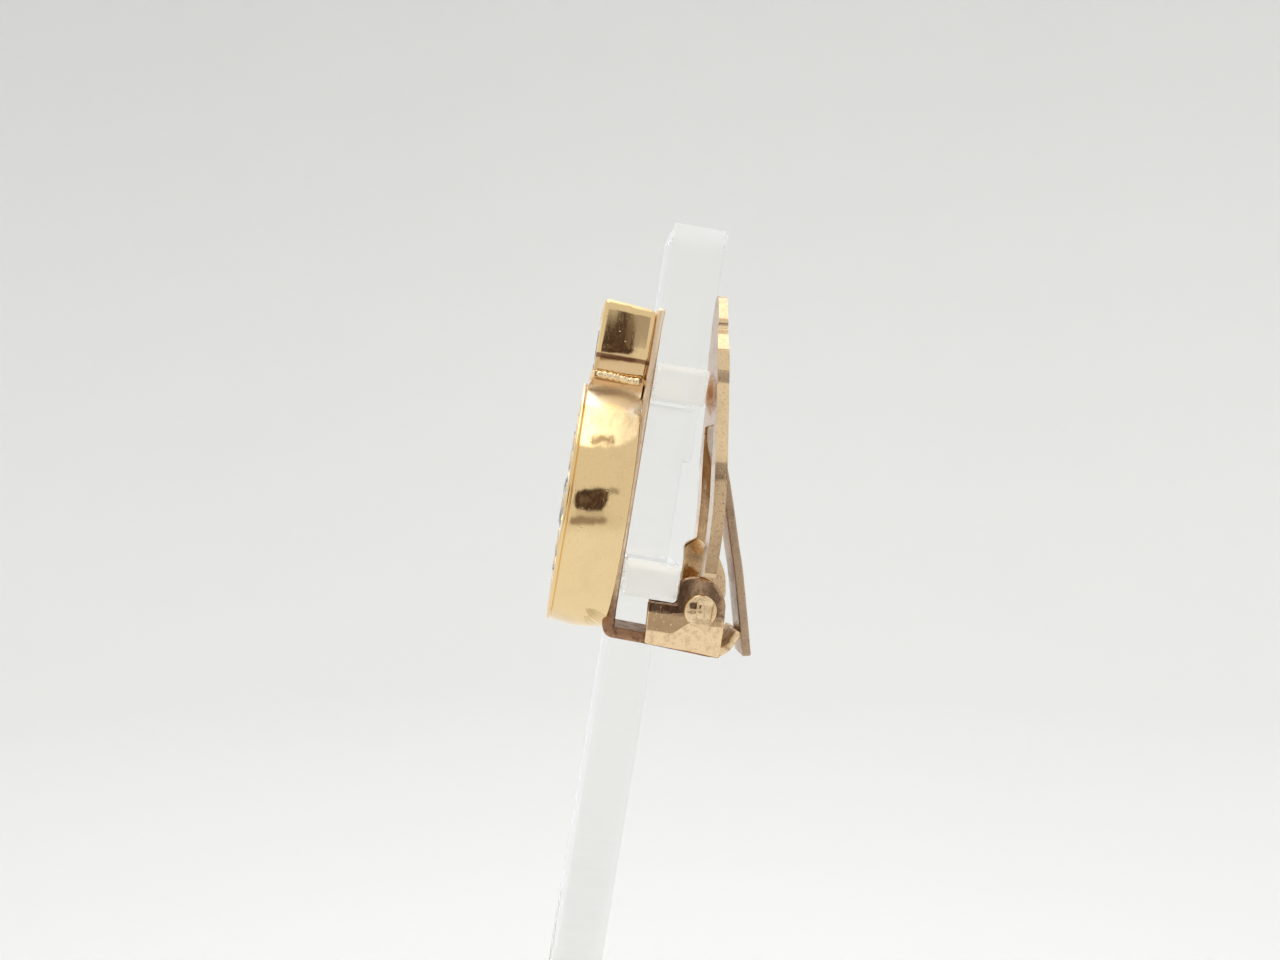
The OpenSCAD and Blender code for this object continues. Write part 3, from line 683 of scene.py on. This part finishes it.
def block_side(axis, sign):
    """One face of the cube pushed onto the block: each point goes to the nearest point of the
    block less its rounding, and then out along what is left by an ellipsoid of the three
    roundings. The sides lean in below and towards front and back, the top slants down to the
    back, and the front has the square seat and its four beads."""
    others = [k for k in range(3) if k != axis]
    a, b = np.meshgrid(block_steps(others[0]), block_steps(others[1]), indexing="ij")
    q = np.empty(a.shape + (3,))
    q[..., axis], q[..., others[0]], q[..., others[1]] = sign * BLOCK_HALF[axis], a, b
    core = np.clip(q, -(BLOCK_HALF - BLOCK_EDGE), BLOCK_HALF - BLOCK_EDGE)
    away = (q - core) / BLOCK_EDGE
    p = core + BLOCK_EDGE * away / np.linalg.norm(away, axis=-1, keepdims=True)
    x, u, v = p[..., 0], p[..., 1] + BLOCK_MID[1], p[..., 2] + BLOCK_MID[2]
    lean_in = np.maximum(UPRIGHT_ABOVE_V - v, 0) ** 2 / (2 * LOW_SIDE_R)
    lean_in = lean_in + (p[..., 1] - SIDE_BOW_U) ** 2 / (2 * SIDE_BOW_R)
    x = x - np.sign(x) * lean_in * smoothstep(np.abs(x), 1.95, 2.6)
    v = v - TOP_SLANT * p[..., 1] * smoothstep(v, 16.2, 17.9)
    if axis == 1 and sign < 0:
        z = v - BLOCK_MID[2]
        half = SQUARE_HALF + STONE_GAP
        cut = SQUARE_CORNER * SQUARE_HALF
        inside = (np.abs(x) < half) & (np.abs(z) < half) & (np.abs(x) + np.abs(z) < 2 * half - cut)
        lift = np.zeros_like(x)
        for sx in (-1, 1):
            for sz in (-1, 1):
                d2 = (x - sx * CORNER_BEAD_X) ** 2 + (z - sz * CORNER_BEAD_V) ** 2
                cap = np.sqrt(np.maximum(CORNER_BEAD_R**2 - d2, 0))
                lift = np.maximum(lift, cap - CORNER_BEAD_R + BEAD_RISE)
        u = u - np.where(inside, -SQUARE_SEAT, lift)
    return place(x, u, v)


# Rows of height and half width. The neck is NECK_HALF_U deep each way.
NECK_PROFILE = [(14.2, 2.5), (13.92, 2.5), (13.76, 2.4), (13.3, 2.25), (12.9, 2.13)]
NECK_HALF_U = 1.42
NECK_REACH, NECK_HOLLOW = 0.26, 0.5


def neck():
    """A rounded rectangle carried down from the block into the disc by a profile that draws in.
    Its front corners reach forward to the disc's lip, and its front draws back between them,
    clear of the top stones."""
    profile = resample(round_corners(NECK_PROFILE, 0.06), 0.03)
    outline = rounded_rectangle(1.0, NECK_HALF_U, 0.07, 6, 24)[None, :, :]
    x = outline[..., 0] * profile[:, 1:]
    v = profile[:, :1] * np.ones_like(x)
    corner = smoothstep(np.abs(x), 1.9, 2.1)
    reach = NECK_REACH * corner * smoothstep(v, 13.9, 13.2)
    hollow = NECK_HOLLOW * (1 - corner) * smoothstep(v, 13.4, 13.1)
    u = outline[..., 1] + BLOCK_MID[1] - (reach - hollow) * (outline[..., 1] < -1.0)
    return place(x, u, v)


SEAM_HALF, SEAM_CORNER, SEAM_V, SEAM_R = (2.35, 1.34), 0.36, 14.03, 0.23


def seam_bead():
    """The ridge where the block meets the neck: a small round carried round a rounded
    rectangle, its radius and height roughened by sines of unrelated lengths."""
    outline = rounded_rectangle(*SEAM_HALF, SEAM_CORNER, 14, 90)
    step = np.roll(outline, -1, 0) - np.roll(outline, 1, 0)
    out = np.stack([step[:, 1], -step[:, 0]], -1) / np.linalg.norm(step, axis=1)[:, None]
    along_it = np.cumsum(np.linalg.norm(step, axis=1))[:, None] / 2
    turn = np.linspace(0, 2 * math.pi, 18, endpoint=False)[None, :]
    rough = 0.02 * np.sin(9.1 * along_it + 2 * turn) * np.sin(23.7 * along_it - turn)
    rough = rough + 0.014 * np.sin(17.3 * along_it + 1)
    rough = rough + 0.02 * np.sin(31.3 * along_it + 3 * turn) * np.sin(5.3 * along_it - 2 * turn)
    r = SEAM_R + rough
    x = outline[:, :1] + out[:, :1] * r * np.cos(turn)
    back = outline[:, 1:] + out[:, 1:] * r * np.cos(turn)
    v = SEAM_V + r * np.sin(turn) - 0.035 * back + 0.02 * np.sin(3.1 * along_it) + 0 * x
    bead = place(x, back + BLOCK_MID[1], v)
    return np.concatenate([bead, bead[:1]])


piece("disc_casting", [disc_casting()], gold_wall, replaces=["setting"])
block_sides = [block_side(k, s) for k in range(3) for s in (-1, 1)]
piece("block_casting", block_sides, gold_block, replaces=["setting"], wrap=False)
piece("neck", [neck()], gold_neck, replaces=["setting"])
piece("seam_bead", [seam_bead()], gold_seam, replaces=["setting"])

# Bracket: mounting plate, arm, heel and ears

# The middle of the strip as rows of u and v, from the plate's top down and back to the heel.
BRACKET_LINE = [
    (0.26, 18.12), (0.215, 17.5), (0.215, 1.2), (0.14, -0.02), (1.2, -0.05), (2.3, -0.08),
    (6.20, -0.29), (6.72, -0.19), (7.08, 0.20), (7.40, 0.92)]
BRACKET_HALF, HEEL_NARROWER = 2.35, 0.25
PLATE_HALF_THICK, ARM_THICKER = 0.225, 0.085
bracket_line = resample(round_corners(BRACKET_LINE, 0.3), 0.07)
heel = smoothstep(bracket_line[:, 0], 6.0, 7.0)
on_arm = smoothstep(bracket_line[:, 1], 1.4, 0.3)
bracket = bent_strip(
    bracket_line, BRACKET_HALF - HEEL_NARROWER * heel,
    PLATE_HALF_THICK + ARM_THICKER * on_arm * (1 - heel), across=20, edge=0.17)
piece("mounting_bracket", [bracket], bracket_sheen, replaces=["setting"])

KNUCKLE_U, KNUCKLE_V, KNUCKLE_R, EAR_FRONT_U = 4.75, 2.1, 1.7, 3.7
PIVOT_U, PIVOT_V = 4.96, 2.05
EAR_OUT, EAR_IN, FAR_EAR_CUT = 2.8, 2.33, 0.42


def ear_outline(cut):
    """One ear from the side: a low shoulder, a straight front edge and the round knuckle. cut
    moves both front edges back."""
    front = EAR_FRONT_U + cut
    start = math.acos((front - KNUCKLE_U) / KNUCKLE_R)
    turn = np.linspace(start, math.radians(8), 40)
    knuckle = np.stack([KNUCKLE_U + KNUCKLE_R * np.cos(turn), KNUCKLE_V + KNUCKLE_R * np.sin(turn)], -1)
    low = round_corners([
        (6.5, 1.2), (6.56, -0.56), (4.82, -0.42), (2.25 + cut, -0.32), (2.08 + cut, 2.03),
        (front, 2.09), (front, 2.6)], 0.14)
    line = np.concatenate([low[1:-1], knuckle, low[:1]])
    return resample(np.concatenate([line, line[:1]]), 0.08)[:-1]


def ear_relief(u, v):
    """The ear's outer face in three flats: above a wavy line it leans in, between the line and a
    fold that climbs to the rivet it is upright, and below the fold it is turned under."""
    line = 1.42 + 0.2 * smoothstep(u, 2.6, 3.9) + 0.05 * np.sin(3.3 * u)
    fold = 0.42 + 0.75 * smoothstep(u, 3.5, 4.7)
    rise = 0.12 * np.maximum(v - line, 0)
    drop = 0.19 * np.maximum(fold - v, 0)
    return -rise - drop


for name, side, cut in (("near_ear", 1, 0.0), ("far_ear", -1, FAR_EAR_CUT)):
    ear = flat_plate(
        ear_outline(cut), (4.5, 1.3), side * EAR_OUT, side * EAR_IN, rows=26, edge=0.11,
        relief=ear_relief)
    piece(name, [ear], gold_ear, replaces=["setting"])

# Rivet

HEAD_U, HEAD_V, HEAD_R, HEAD_BASE, HEAD_TOP, HEAD_DOME = 5.04, 1.95, 0.92, 2.84, 3.2, 0.2
PUNCH_U, PUNCH_V, PUNCH_HALF, PUNCH_DEPTH = 0.22, -0.04, (0.46, 0.66), 0.17
SHAFT_R, SHAFT_HALF = 0.42, 2.9


def rivet_head_relief(u, v):
    """A dome over the head, and in it a punched rectangle at a fixed depth: steep walls along
    its sides, and long slopes at its top and bottom."""
    a, b = u - HEAD_U, v - HEAD_V
    dome = -HEAD_DOME * (a**2 + b**2) / HEAD_R**2
    side = smoothstep(np.abs(a - PUNCH_U), PUNCH_HALF[0], PUNCH_HALF[0] - 0.09)
    end = np.clip((PUNCH_HALF[1] - np.abs(b - PUNCH_V)) / 0.26, 0, 1)
    return dome - PUNCH_DEPTH * side * end


turn = np.linspace(0, 2 * math.pi, 72, endpoint=False)
head_ring = np.stack([HEAD_U + HEAD_R * np.cos(turn), HEAD_V + HEAD_R * np.sin(turn)], -1)
for name, side in (("near_rivet_head", 1), ("far_rivet_head", -1)):
    head = flat_plate(
        head_ring, (HEAD_U, HEAD_V), side * HEAD_TOP, side * HEAD_BASE, rows=40, edge=0.08,
        relief=rivet_head_relief)
    piece(name, [head], gold_rivet, replaces=["hinge_pin"], crease=60)
shaft_profile = [(-SHAFT_HALF, 0.0), (-SHAFT_HALF, SHAFT_R), (SHAFT_HALF, SHAFT_R), (SHAFT_HALF, 0.0)]
shaft = turned(shaft_profile, PIVOT_U, PIVOT_V, 48)
piece("rivet_shaft", [shaft], gold_rivet, replaces=["hinge_pin"], crease=60)

# Paddle: rows of u and v along its middle, and rows of v and half width

PADDLE_LINE = [
    (5.10, 3.95), (5.10, 5.2), (5.08, 6.3), (4.98, 8.0), (4.78, 9.8), (4.58, 11.8), (4.40, 13.7),
    (4.20, 15.4), (3.94, 17.4), (3.68, 19.85)]
PADDLE_HALF = [
    (3.95, 3.98), (4.1, 4.06), (9.4, 4.2), (10.4, 4.1), (12.3, 3.42), (14.6, 2.62), (15.4, 2.58),
    (16.5, 2.4), (17.6, 1.69), (18.3, 1.66), (19.23, 1.105)]
PADDLE_FOOT, PADDLE_THICK, TIP_THICK = 3.95, 0.68, 0.5
TIP_THIN_Z = (48.0, 52.5)
WINDOW_V, WINDOW_HALF = (4.9, 12.4), 2.3
TIP_V, TIP_R, TIP_TURN = 19.85, 1.29, 0.54
NOTCH_V, NOTCH_DEPTH, NOTCH_SPREAD = 17.85, 0.1, 0.09
PAD_V, PAD_R, PAD_RISE = 14.2, 1.45, 0.44


def paddle_sheet():
    """The paddle's middle surface: u follows its line, x goes out to a half width that is read
    along v, has a shallow notch near the top and ends in a round tip, and a round pad is pressed
    forward by a smooth hump. The columns keep to the window's edges. Returns points and quads,
    the window left out."""
    tip_mid = TIP_V - TIP_R
    v_low = np.unique(np.concatenate([
        np.linspace(PADDLE_FOOT, WINDOW_V[0], 12), np.linspace(*WINDOW_V, 50),
        np.linspace(WINDOW_V[1], tip_mid + TIP_R * math.sin(TIP_TURN), 60)]))
    turn = np.linspace(TIP_TURN, math.pi / 2 - 0.03, 14)[1:]
    v = np.concatenate([v_low, tip_mid + TIP_R * np.sin(turn)])
    knots = np.array(PADDLE_HALF)
    half = np.interp(v, knots[:, 0], knots[:, 1])
    half[len(v_low):] = TIP_R * np.cos(turn)
    half = half - NOTCH_DEPTH * np.exp(-(((v - NOTCH_V) / NOTCH_SPREAD) ** 2))
    line = smooth_line(PADDLE_LINE, 400)
    u = np.interp(v, line[:, 1], line[:, 0])
    inner = np.minimum(WINDOW_HALF, 0.62 * half)
    rail = np.linspace(0, 1, 9)
    middle = np.linspace(-1, 1, 25)[1:-1]
    x = np.concatenate([
        -half[:, None] + (half - inner)[:, None] * rail,
        inner[:, None] * middle,
        inner[:, None] + (half - inner)[:, None] * rail], 1)
    d = np.hypot(x, v[:, None] - PAD_V) / PAD_R
    u = u[:, None] - PAD_RISE * np.where(d < 1, (1 - d**2) ** 2, 0)
    quads = grid_faces(*x.shape)
    centre_v = v[quads // x.shape[1]].mean(1)
    centre_x = x.ravel()[quads].mean(1)
    beside = np.abs(centre_x) >= WINDOW_HALF - 0.01
    solid = (centre_v <= WINDOW_V[0]) | (centre_v >= WINDOW_V[1]) | beside
    return place(x, u, v[:, None] * np.ones_like(x)).reshape(-1, 3), quads[solid]


points, quads = paddle_sheet()
paddle_mesh = bpy.data.meshes.new("paddle")
paddle_mesh.from_pydata(points.tolist(), [], quads.tolist())
paddle = finish_mesh("paddle", paddle_mesh, gold_clip, "paddle", ["clip_paddle"])
wall = paddle.modifiers.new("thickness", "SOLIDIFY")
wall.thickness, wall.offset, wall.use_even_offset = PADDLE_THICK * MM, 0.0, True
full = paddle.vertex_groups.new(name="full_thickness")
for corner in paddle_mesh.vertices:
    full.add([corner.index], 1.0 - smoothstep(corner.co.z / MM, *TIP_THIN_Z), "REPLACE")
wall.vertex_group, wall.thickness_vertex_group = "full_thickness", TIP_THICK / PADDLE_THICK
edges = paddle.modifiers.new("edges", "BEVEL")
edges.width, edges.segments, edges.harden_normals = 0.07 * MM, 3, True
edges.limit_method, edges.angle_limit = "ANGLE", math.radians(50)

# Each lug's flange above the rivet, as rows of u and v up its front edge.
FAR_FLANGE = [(4.17, 3.2), (4.12, 4.6), (3.99, 5.3), (4.35, 5.62), (4.75, 5.9), (5.3, 5.6)]
NEAR_FLANGE = [(4.4, 3.2), (4.85, 4.2), (5.05, 5.2), (5.3, 5.4)]
LUG_R, LUG_OUT, LUG_IN = 1.2, 2.27, 1.77


def lug_outline(flange):
    """One lug from the side: round below about the rivet, with a flange up beside the rails'
    foot."""
    turn = np.radians(np.linspace(12, -188, 40))
    low = np.stack([PIVOT_U + LUG_R * np.cos(turn), PIVOT_V + LUG_R * np.sin(turn)], -1)
    top = round_corners([low[-1], *flange, (5.75, 4.95), (6.2, 4.1), (6.4, 2.95), low[0]], 0.3)
    line = np.concatenate([low, top[1:]])
    return resample(line, 0.1)[:-1]


for name, side, flange, metal in (
    ("near_lug", 1, NEAR_FLANGE, gold_clip), ("far_lug", -1, FAR_FLANGE, gold_rivet),
):
    lug = flat_plate(
        lug_outline(flange), (PIVOT_U + 0.1, 3.3), side * LUG_OUT, side * LUG_IN, rows=14)
    piece(name, [lug], metal, "paddle", ["clip_paddle"])

# Tongue: rows of u and v from its root down to its free end on the heel

TONGUE_LINE = [
    (4.53, 12.34), (4.59, 11.75), (4.78, 11.0), (5.20, 10.0), (5.73, 8.45), (6.47, 6.05),
    (6.98, 4.46), (7.41, 2.86), (7.84, 1.21), (8.20, -0.2)]
TONGUE_HALF, TONGUE_HALF_THICK = 1.6, 0.25
tongue_line = resample(smooth_line(TONGUE_LINE, 200), 0.12)
leaf = bent_strip(tongue_line, TONGUE_HALF, TONGUE_HALF_THICK, across=14)
tongue = piece(
    "tongue", [leaf], dull_brass, body=None, replaces=["spring_tongue"])
# A point on past the free end, and the root, for a bend in which the free end would take 0.59
# of the paddle's turn. This script makes no bend and does not use them.
TONGUE_FREE_END = place(0.0, 12.7, -16.0).tolist()
TONGUE_ROOT = place(0.0, 4.5, 12.3).tolist()
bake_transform(tongue)

# Stones and stand: the solids' own shapes with better materials

for name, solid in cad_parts.items():
    if "stone" in name or name.startswith("stand_"):
        finish = crystal if "stone" in name else acrylic
        solid.data.materials.clear()
        solid.data.materials.append(finish)

# Stage: a pale bowl, a soft light, and what the gold mirrors


def stage_surface(name, grid, material):
    """An object of the stage from one grid of points that closes round."""
    mesh = bpy.data.meshes.new(name)
    quads = grid_faces(*grid.shape[:2], wrap=True)
    mesh.from_pydata(grid.reshape(-1, 3).tolist(), [], quads.tolist())
    mesh.shade_smooth()
    mesh.materials.append(material)
    made = bpy.data.objects.new(name, mesh)
    bpy.context.scene.collection.objects.link(made)
    return made


# The bowl's sizes in metres: its flat floor, the bend's radius, its top, and a hair below zero.
FLOOR_R, BEND_R, WALL_TOP, BELOW = 0.17, 0.19, 0.62, 0.00002
PAPER_LOW, PAPER_HIGH = (0.90, 0.90, 0.885, 1), (0.70, 0.70, 0.69, 1)


def pale_bowl():
    """A floor that turns up into a wall all round: flat to a radius, a quarter circle, then up."""
    t = np.linspace(-math.pi / 2, 0, 14)
    r = np.concatenate([[0.0, 0.06, 0.12], FLOOR_R + BEND_R * np.cos(t), [FLOOR_R + BEND_R]])
    z = np.concatenate([[0.0, 0.0, 0.0], BEND_R + BEND_R * np.sin(t), [WALL_TOP]])
    angle = np.linspace(0, 2 * math.pi, 96, endpoint=False)[None, :]
    r, z = r[:, None], z[:, None] - BELOW
    return np.stack([r * np.cos(angle), r * np.sin(angle), z + 0 * angle], -1)


def pale_paper():
    """Matte paper graded from one tone on the floor to a darker one up the wall, a painted shade
    of the light from above, a little darker toward the front, with a faint mottle."""
    material, tree, shader = new_material("pale_paper")
    shader.inputs["Roughness"].default_value = 0.9
    where = node(tree, "ShaderNodeTexCoord").outputs["Object"]
    # Painted shade: darker up the wall, where the light from above falls less.
    rise = ramp(tree, along(tree, where, "Z"), 0.0, 0.26, 0.0, 0.85)
    front = ramp(tree, along(tree, where, "Y"), 0.02, -0.2, 0.0, 0.3)
    mottle = times(tree, noise(tree, where, 14.0, 2.0), 0.1)
    tone = plus(tree, plus(tree, rise, front), mottle)
    feed(tree, shader.inputs["Base Color"], mix_colour(tree, tone, PAPER_LOW, PAPER_HIGH))
    return material


TENT_R, TENT_FLOOR = 77.0, -27.0


def tent_shell():
    """A ball round the earring in the camera's frame (x right, y up, z to the camera), cut flat
    below, which keeps the stand's foot out of the metal's reflections."""
    up = np.linspace(-math.pi / 2, math.pi / 2, 41)[:, None]
    turn = np.linspace(0, 2 * math.pi, 96, endpoint=False)[None, :]
    x, y, z = np.cos(up) * np.sin(turn), np.sin(up) + 0 * turn, np.cos(up) * np.cos(turn)
    return np.stack([x * TENT_R, np.maximum(y * TENT_R, TENT_FLOOR), z * TENT_R], -1) * MM


def soft_box(tree, across, upward, middle, half, corner, waver=None, edge=0.5):
    """1 inside a box with round corners and 0 outside, from two coordinates. The distance
    outside is the length of what is left of each coordinate beyond the box less its corners'
    radius. The edge fades over a share of that radius, and waver makes it ragged."""
    squares = 0.0
    for value, centre, reach in ((across, middle[0], half[0]), (upward, middle[1], half[1])):
        beyond = less(tree, maths(tree, "ABSOLUTE", less(tree, value, centre)), reach - corner)
        beyond = maths(tree, "MAXIMUM", beyond, 0.0)
        squares = plus(tree, times(tree, beyond, beyond), squares)
    distance = maths(tree, "SQRT", squares)
    if waver is not None:
        distance = plus(tree, distance, waver)
    return ramp(tree, distance, corner * (1 + edge), corner * (1 - edge))


TAN_FRONT = (0.78, 0.78, 0.80, 1)
YELLOW_BELOW = (0.90, 0.93, 1.0, 1)
WHITE_BEHIND = (0.92, 0.93, 0.95, 1)
CREAM_BRIGHT = (2.7, 2.6, 2.5, 1)
CREAM_SOFT = (1.15, 1.2, 1.35, 1)
CREAM_STREAK = (0.85, 0.86, 0.9, 1)
SMUDGE_BROWN = (0.42, 0.36, 0.32, 1)
OLIVE = (0.33, 0.30, 0.32, 1)
BAND_BROWN = (0.26, 0.2, 0.17, 1)
BODY_DARK = (0.07, 0.045, 0.04, 1)
BODY_LIGHT = (0.3, 0.24, 0.21, 1)
SHEET_UP = (0.80, 0.835)
STREAK_STRETCH, MOTTLE_STRETCH = (16.0, 1.0, 2.2), (9.0, 7.0, 7.0)

# Boxes: middle and half size, across and upward, and the corners' radius. The smudge lies on
# the sheet's front edge. The others stand toward the camera, as tangents from the way to it.
SMUDGE = ((0.06, 0.866), (0.19, 0.036), 0.035)
DARK_BOX = ((-0.07, 0.098), (0.325, 0.168), 0.11)
DARK_BOX_EDGE = 0.16
# Each band also has its strength, its colour and whether its edge is ragged.
BANDS = (
    ((0.36, 0.205), (0.15, 0.06), 0.04, 0.8, OLIVE, True),
    ((-0.1, -0.245), (0.38, 0.065), 0.06, 0.85, BAND_BROWN, True),
    ((-0.07, -0.12), (0.3, 0.08), 0.05, 0.25, BAND_BROWN, False),
)


def tent_glow():
    """What the metal mirrors, by direction from the earring: white behind and to the sides, tan
    in front, light yellow below, and a bright cream sheet overhead with tan streaks and a brown
    smudge on its front edge. Toward the camera a dark mottled box stands above two soft bands,
    with an olive one beside it."""
    material = bpy.data.materials.new("tent_glow")
    material.use_nodes = True
    tree = material.node_tree
    tree.nodes.clear()
    where = node(tree, "ShaderNodeTexCoord").outputs["Object"]
    way = node(tree, "ShaderNodeVectorMath", {0: where}, operation="NORMALIZE").outputs[0]
    right, up, back = (along(tree, way, axis) for axis in "XYZ")
    rough_up = plus(tree, up, times(tree, less(tree, noise(tree, way, 9.0, 4.0), 0.5), 0.11))
    front = mix_colour(tree, ramp(tree, up, -0.42, -0.26), YELLOW_BELOW, TAN_FRONT)
    level = mix_colour(tree, ramp(tree, back, 0.1, -0.35), front, WHITE_BEHIND)
    comb = noise(tree, stretched(tree, way, STREAK_STRETCH), 1.0, 3.0)
    streak = times(tree, ramp(tree, comb, 0.46, 0.62), ramp(tree, back, 0.36, 0.05))
    sheet = mix_colour(tree, ramp(tree, right, -0.15, 0.4), CREAM_BRIGHT, CREAM_SOFT)
    sheet = mix_colour(tree, times(tree, streak, 0.75), sheet, CREAM_STREAK)
    colour = mix_colour(tree, ramp(tree, rough_up, *SHEET_UP), level, sheet)
    smudge = times(tree, soft_box(tree, right, rough_up, *SMUDGE), ramp(tree, back, 0.1, 0.3))
    colour = mix_colour(tree, times(tree, smudge, 0.9), colour, SMUDGE_BROWN)
    toward = maths(tree, "MAXIMUM", back, 0.05)
    across, upward = maths(tree, "DIVIDE", right, toward), maths(tree, "DIVIDE", up, toward)
    mottle = noise(tree, stretched(tree, way, MOTTLE_STRETCH), 1.0, 4.0, 0.65)
    waver = times(tree, less(tree, mottle, 0.5), 0.12)
    for middle, half, corner, strength, shade, ragged in BANDS:
        band = soft_box(tree, across, upward, middle, half, corner, waver if ragged else None)
        colour = mix_colour(tree, times(tree, band, strength), colour, shade)
    body = soft_box(tree, across, upward, *DARK_BOX, waver, DARK_BOX_EDGE)
    dark = mix_colour(tree, ramp(tree, mottle, 0.5, 0.74), BODY_DARK, BODY_LIGHT)
    light = node(tree, "ShaderNodeEmission", {"Color": mix_colour(tree, body, colour, dark)})
    out = tree.nodes.new("ShaderNodeOutputMaterial")
    feed(tree, out.inputs["Surface"], light.outputs[0])
    return material


stage_surface("pale_bowl", pale_bowl(), pale_paper())
tent = stage_surface("tent", tent_shell(), tent_glow())
tent.location = AIM
tent.rotation_mode = "QUATERNION"
tent.rotation_quaternion = CAMERA_TURN
tent.visible_camera = tent.visible_diffuse = tent.visible_shadow = tent.visible_transmission = False

# The one light, in metres and watts.
LIGHT_PLACE, LIGHT_TARGET = Vector((0.06, -0.02, 0.5)), Vector((0.0, 0.0, 0.03))
LIGHT_SIZE, LIGHT_POWER = 0.34, 1.55
light_data = bpy.data.lights.new("top_light", "AREA")
light_data.shape, light_data.size, light_data.energy = "SQUARE", LIGHT_SIZE, LIGHT_POWER
top_light = bpy.data.objects.new("top_light", light_data)
bpy.context.scene.collection.objects.link(top_light)
top_light.location = LIGHT_PLACE
top_light.rotation_mode = "QUATERNION"
top_light.rotation_quaternion = (LIGHT_TARGET - LIGHT_PLACE).to_track_quat("-Z", "Y")
top_light.visible_glossy = top_light.visible_transmission = False

world = bpy.data.worlds.new("studio")
world.use_nodes = True
background = world.node_tree.nodes["Background"]
background.inputs["Color"].default_value = (0.93, 0.94, 0.95, 1)
background.inputs["Strength"].default_value = 0.27
bpy.context.scene.world = world
